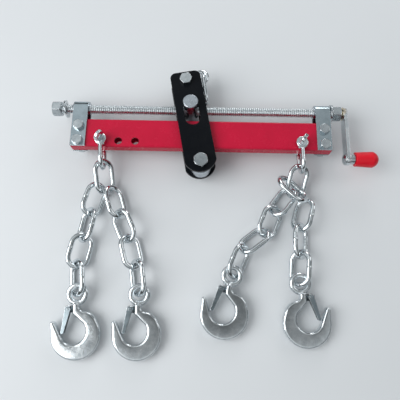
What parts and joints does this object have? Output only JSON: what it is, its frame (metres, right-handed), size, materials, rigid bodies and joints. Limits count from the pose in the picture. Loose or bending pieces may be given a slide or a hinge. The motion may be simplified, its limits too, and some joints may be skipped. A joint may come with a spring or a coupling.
{
  "type": "engine load leveler",
  "caption": "Painted beam with a crank-driven lead screw, sliding lifting carrier and shackled chain legs with latched hooks, used to tilt an engine while it is lifted.",
  "frame": {"origin": "under the middle of the whole part, on the table that it lies on", "axes": "+X along the beam towards the crank, +Y up in use, +Z away from the table"},
  "size_m": [0.5558, 0.4946, 0.0777],
  "materials": {
    "beam_paint": "gloss crimson paint",
    "plate_paint": "gloss black paint",
    "zinc_plate": "bright zinc plate",
    "bright_steel": "bright steel, lightly oiled",
    "grip_plastic": "smooth red moulding"
  },
  "bodies": {
    "beam": {"beam_tube": "beam_paint", "strap_left": "zinc_plate", "strap_right": "zinc_plate", "strap_bolts": "zinc_plate", "strap_nuts": "zinc_plate", "screw_bushes": "bright_steel"},
    "crank": {"lead_screw": "bright_steel", "screw_nuts": "zinc_plate", "screw_washers": "zinc_plate", "crank_arm": "zinc_plate", "grip_spindle": "zinc_plate", "grip_ferrule": "zinc_plate"},
    "grip": {"grip": "grip_plastic"},
    "nut": {"trunnion_nut": "bright_steel"},
    "carrier": {"front_plate": "plate_paint", "rear_plate": "plate_paint", "top_bolt": "zinc_plate", "top_nut": "zinc_plate", "roller_bolt": "zinc_plate", "roller_nut": "zinc_plate", "roller_washers": "zinc_plate"},
    "roller": {"roller": "bright_steel"},
    "lifting_link_0": {"lifting_link_0": "zinc_plate"},
    "lifting_link_1": {"lifting_link_1": "zinc_plate"},
    "left_shackle": {"left_shackle": "zinc_plate", "left_shackle_pin": "zinc_plate"},
    "left_anchor_link": {"left_anchor_link": "zinc_plate"},
    "left_outer_link_1": {"left_outer_link_1": "zinc_plate"},
    "left_outer_link_2": {"left_outer_link_2": "zinc_plate"},
    "left_outer_link_3": {"left_outer_link_3": "zinc_plate"},
    "left_outer_link_4": {"left_outer_link_4": "zinc_plate"},
    "left_outer_hook": {"left_outer_hook": "zinc_plate", "left_outer_latch_pin": "zinc_plate"},
    "left_outer_latch": {"left_outer_latch": "zinc_plate"},
    "left_inner_link_1": {"left_inner_link_1": "zinc_plate"},
    "left_inner_link_2": {"left_inner_link_2": "zinc_plate"},
    "left_inner_link_3": {"left_inner_link_3": "zinc_plate"},
    "left_inner_link_4": {"left_inner_link_4": "zinc_plate"},
    "left_inner_hook": {"left_inner_hook": "zinc_plate", "left_inner_latch_pin": "zinc_plate"},
    "left_inner_latch": {"left_inner_latch": "zinc_plate"},
    "right_shackle": {"right_shackle": "zinc_plate", "right_shackle_pin": "zinc_plate"},
    "right_anchor_link": {"right_anchor_link": "zinc_plate"},
    "right_inner_link_1": {"right_inner_link_1": "zinc_plate"},
    "right_inner_link_2": {"right_inner_link_2": "zinc_plate"},
    "right_inner_link_3": {"right_inner_link_3": "zinc_plate"},
    "right_inner_link_4": {"right_inner_link_4": "zinc_plate"},
    "right_inner_hook": {"right_inner_hook": "zinc_plate", "right_inner_latch_pin": "zinc_plate"},
    "right_inner_latch": {"right_inner_latch": "zinc_plate"},
    "right_outer_link_1": {"right_outer_link_1": "zinc_plate"},
    "right_outer_link_2": {"right_outer_link_2": "zinc_plate"},
    "right_outer_link_3": {"right_outer_link_3": "zinc_plate"},
    "right_outer_link_4": {"right_outer_link_4": "zinc_plate"},
    "right_outer_hook": {"right_outer_hook": "zinc_plate", "right_outer_latch_pin": "zinc_plate"},
    "right_outer_latch": {"right_outer_latch": "zinc_plate"}
  },
  "joints": [
    {"name": "nut_travel", "type": "slide", "parent": "beam", "child": "nut", "axis": [1, 0, 0], "range_m": [-0.064, 0.0835]},
    {"name": "crank_turn", "type": "hinge", "parent": "beam", "child": "crank", "pos_m": [-0.0209, 0.16606, 0.037], "axis": [1, 0, 0], "range_deg": [-6585, 8590]},
    {"name": "grip_spin", "type": "hinge", "parent": "crank", "child": "grip", "pos_m": [0.2384, 0.08206, 0.037], "axis": [1, 0, 0], "continuous": true},
    {"name": "carrier_tilt", "type": "hinge", "parent": "nut", "child": "carrier", "pos_m": [-0.0399, 0.16606, 0.037], "axis": [0, 0, 1], "range_deg": [-6, 14]},
    {"name": "roller_spin", "type": "hinge", "parent": "carrier", "child": "roller", "pos_m": [-0.02106, 0.06684, 0.037], "axis": [0, 0, 1], "continuous": true},
    {"name": "lifting_link_0_swing", "type": "hinge", "parent": "carrier", "child": "lifting_link_0", "pos_m": [-0.04923, 0.21519, 0.037], "axis": [0, 0, 1], "range_deg": [0, 60]},
    {"name": "lifting_link_1_swing", "type": "hinge", "parent": "lifting_link_0", "child": "lifting_link_1", "pos_m": [-0.02038, 0.23362, 0.037], "axis": [0, 0, 1], "range_deg": [0, 60]},
    {"name": "left_shackle_swing", "type": "hinge", "parent": "beam", "child": "left_shackle", "pos_m": [-0.1889, 0.10416, 0.037], "axis": [0, 0, 1], "range_deg": [-10, 10]},
    {"name": "left_anchor_link_swing", "type": "hinge", "parent": "left_shackle", "child": "left_anchor_link", "pos_m": [-0.18584, 0.06038, 0.03114], "axis": [0, 0, 1], "range_deg": [-8, 4]},
    {"name": "left_outer_link_1_swing", "type": "hinge", "parent": "left_anchor_link", "child": "left_outer_link_1", "pos_m": [-0.19201, 0.03748, 0.01728], "axis": [0, 0, 1], "range_deg": [-8, 1.5]},
    {"name": "left_outer_link_2_swing", "type": "hinge", "parent": "left_outer_link_1", "child": "left_outer_link_2", "pos_m": [-0.20533, -0.01221, 0.01639], "axis": [0, 0, 1], "range_deg": [-8, 2.5]},
    {"name": "left_outer_link_3_swing", "type": "hinge", "parent": "left_outer_link_2", "child": "left_outer_link_3", "pos_m": [-0.21206, -0.05611, 0.01613], "axis": [0, 0, 1], "range_deg": [-8, 3]},
    {"name": "left_outer_link_4_swing", "type": "hinge", "parent": "left_outer_link_3", "child": "left_outer_link_4", "pos_m": [-0.2201, -0.09957, 0.01658], "axis": [0, 0, 1], "range_deg": [-10, 4]},
    {"name": "left_outer_hook_swing", "type": "hinge", "parent": "left_outer_link_4", "child": "left_outer_hook", "pos_m": [-0.21407, -0.14067, 0.01658], "axis": [0, 0, 1], "range_deg": [-5, 5]},
    {"name": "left_outer_latch_swing", "type": "hinge", "parent": "left_outer_hook", "child": "left_outer_latch", "pos_m": [-0.22584, -0.17018, 0.01448], "axis": [0.0049, -0.0928, 0.9957], "range_deg": [0, 30]},
    {"name": "left_inner_link_1_swing", "type": "hinge", "parent": "left_anchor_link", "child": "left_inner_link_1", "pos_m": [-0.17097, 0.03022, 0.02106], "axis": [0, 0, 1], "range_deg": [-2, 8]},
    {"name": "left_inner_link_2_swing", "type": "hinge", "parent": "left_inner_link_1", "child": "left_inner_link_2", "pos_m": [-0.15588, -0.01623, 0.01848], "axis": [0, 0, 1], "range_deg": [-2.5, 10]},
    {"name": "left_inner_link_3_swing", "type": "hinge", "parent": "left_inner_link_2", "child": "left_inner_link_3", "pos_m": [-0.1367, -0.05617, 0.01645], "axis": [0, 0, 1], "range_deg": [-3, 3]},
    {"name": "left_inner_link_4_swing", "type": "hinge", "parent": "left_inner_link_3", "child": "left_inner_link_4", "pos_m": [-0.12585, -0.09873, 0.01713], "axis": [0, 0, 1], "range_deg": [-3, 10]},
    {"name": "left_inner_hook_swing", "type": "hinge", "parent": "left_inner_link_4", "child": "left_inner_hook", "pos_m": [-0.11607, -0.1394, 0.01713], "axis": [0, 0, 1], "range_deg": [-3, 12]},
    {"name": "left_inner_latch_swing", "type": "hinge", "parent": "left_inner_hook", "child": "left_inner_latch", "pos_m": [-0.12867, -0.16874, 0.0149], "axis": [0, -0.0983, 0.9952], "range_deg": [0, 30]},
    {"name": "right_shackle_swing", "type": "hinge", "parent": "beam", "child": "right_shackle", "pos_m": [0.1471, 0.10416, 0.037], "axis": [0, 0, 1], "range_deg": [-10, 10]},
    {"name": "right_anchor_link_swing", "type": "hinge", "parent": "right_shackle", "child": "right_anchor_link", "pos_m": [0.14862, 0.06062, 0.0304], "axis": [0, 0, 1], "range_deg": [-8, 6]},
    {"name": "right_inner_link_1_swing", "type": "hinge", "parent": "right_anchor_link", "child": "right_inner_link_1", "pos_m": [0.13415, 0.03225, 0.0164], "axis": [0, 0, 1], "range_deg": [-4, 3]},
    {"name": "right_inner_link_2_swing", "type": "hinge", "parent": "right_inner_link_1", "child": "right_inner_link_2", "pos_m": [0.10608, -0.00501, 0.01413], "axis": [0, 0, 1], "range_deg": [-10, 2]},
    {"name": "right_inner_link_3_swing", "type": "hinge", "parent": "right_inner_link_2", "child": "right_inner_link_3", "pos_m": [0.08776, -0.04366, 0.01577], "axis": [0, 0, 1], "range_deg": [-6, 8]},
    {"name": "right_inner_link_4_swing", "type": "hinge", "parent": "right_inner_link_3", "child": "right_inner_link_4", "pos_m": [0.0512, -0.06931, 0.01796], "axis": [0, 0, 1], "range_deg": [-10, 5]},
    {"name": "right_inner_hook_swing", "type": "hinge", "parent": "right_inner_link_4", "child": "right_inner_hook", "pos_m": [0.03573, -0.10814, 0.01796], "axis": [0, 0, 1], "range_deg": [-6, 5]},
    {"name": "right_inner_latch_swing", "type": "hinge", "parent": "right_inner_hook", "child": "right_inner_latch", "pos_m": [0.01487, -0.13373, 0.01554], "axis": [-0.0185, -0.105, 0.9943], "range_deg": [0, 30]},
    {"name": "right_outer_link_1_swing", "type": "hinge", "parent": "right_anchor_link", "child": "right_outer_link_1", "pos_m": [0.13354, 0.02958, 0.02989], "axis": [0, 0, 1], "range_deg": [-6, 5]},
    {"name": "right_outer_link_2_swing", "type": "hinge", "parent": "right_outer_link_1", "child": "right_outer_link_2", "pos_m": [0.1504, 0.01386, 0.01619], "axis": [0, 0, 1], "range_deg": [-8, 2]},
    {"name": "right_outer_link_3_swing", "type": "hinge", "parent": "right_outer_link_2", "child": "right_outer_link_3", "pos_m": [0.14619, -0.03274, 0.01698], "axis": [0, 0, 1], "range_deg": [-8, 8]},
    {"name": "right_outer_link_4_swing", "type": "hinge", "parent": "right_outer_link_3", "child": "right_outer_link_4", "pos_m": [0.14466, -0.07722, 0.01649], "axis": [0, 0, 1], "range_deg": [-8, 8]},
    {"name": "right_outer_hook_swing", "type": "hinge", "parent": "right_outer_link_4", "child": "right_outer_hook", "pos_m": [0.14189, -0.11832, 0.01649], "axis": [0, 0, 1], "range_deg": [-3, 5]},
    {"name": "right_outer_latch_swing", "type": "hinge", "parent": "right_outer_hook", "child": "right_outer_latch", "pos_m": [0.15854, -0.14485, 0.0144], "axis": [0.0112, -0.0912, 0.9958], "range_deg": [-30, 0]}
  ],
  "couplings": [
    {"joint": "crank_turn", "follows": "nut_travel", "rad_per_m": 1795.2}
  ]
}
